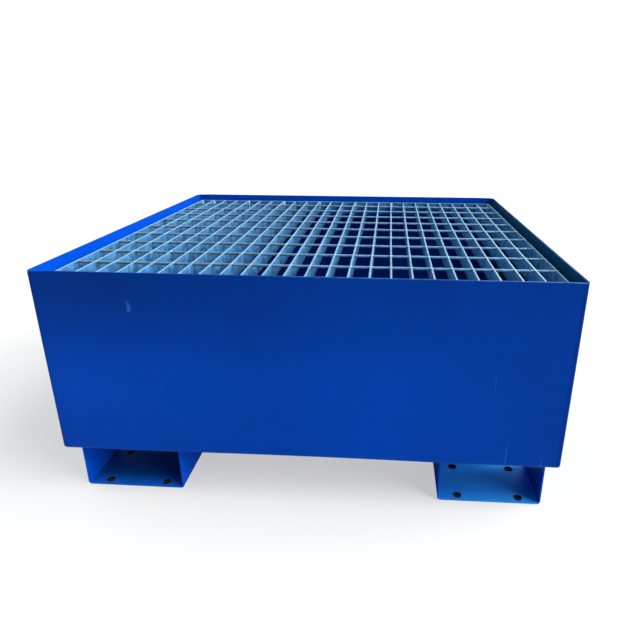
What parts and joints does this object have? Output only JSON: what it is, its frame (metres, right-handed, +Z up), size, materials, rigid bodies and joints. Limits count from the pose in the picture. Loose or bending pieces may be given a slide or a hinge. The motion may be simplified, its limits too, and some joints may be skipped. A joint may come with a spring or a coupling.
{
  "type": "spill containment pallet",
  "caption": "Square sheet steel spill pallet on folded feet, with a loose galvanised bar grating lying inside its rim above an open sump.",
  "frame": {"origin": "on the floor, under the middle of the sump", "axes": "+X to the right along the width, -Y out of the front, +Z up"},
  "size_m": [0.85, 0.8, 0.418],
  "materials": {
    "blue_powder_coat": "satin powder coat, fine orange peel, saturated blue",
    "galvanised_steel": "hot-dip galvanised, spangled, bright along the bars' top edges"
  },
  "bodies": {
    "tray": {"sump_pan": "blue_powder_coat", "side_panel_left": "blue_powder_coat", "side_panel_right": "blue_powder_coat", "grating_ledge_front": "blue_powder_coat", "grating_ledge_rear": "blue_powder_coat", "foot_front_left": "blue_powder_coat", "foot_front_right": "blue_powder_coat", "foot_rear_left": "blue_powder_coat", "foot_rear_right": "blue_powder_coat"},
    "grating": {"bearing_bar_01": "galvanised_steel", "bearing_bar_02": "galvanised_steel", "bearing_bar_03": "galvanised_steel", "bearing_bar_04": "galvanised_steel", "bearing_bar_05": "galvanised_steel", "bearing_bar_06": "galvanised_steel", "bearing_bar_07": "galvanised_steel", "bearing_bar_08": "galvanised_steel", "bearing_bar_09": "galvanised_steel", "bearing_bar_10": "galvanised_steel", "bearing_bar_11": "galvanised_steel", "bearing_bar_12": "galvanised_steel", "bearing_bar_13": "galvanised_steel", "bearing_bar_14": "galvanised_steel", "bearing_bar_15": "galvanised_steel", "bearing_bar_16": "galvanised_steel", "bearing_bar_17": "galvanised_steel", "bearing_bar_18": "galvanised_steel", "bearing_bar_19": "galvanised_steel", "bearing_bar_20": "galvanised_steel", "bearing_bar_21": "galvanised_steel", "bearing_bar_22": "galvanised_steel", "bearing_bar_23": "galvanised_steel", "bearing_bar_24": "galvanised_steel", "bearing_bar_25": "galvanised_steel", "cross_rod_01": "galvanised_steel", "cross_rod_02": "galvanised_steel", "cross_rod_03": "galvanised_steel", "cross_rod_04": "galvanised_steel", "cross_rod_05": "galvanised_steel", "cross_rod_06": "galvanised_steel", "cross_rod_07": "galvanised_steel", "cross_rod_08": "galvanised_steel", "cross_rod_09": "galvanised_steel", "cross_rod_10": "galvanised_steel", "end_band_front": "galvanised_steel", "end_band_rear": "galvanised_steel"}
  },
  "joints": [
    {"name": "grating_lift", "type": "slide", "parent": "tray", "child": "grating", "axis": [0, 0, 1], "range_m": [0, 0.12]}
  ]
}
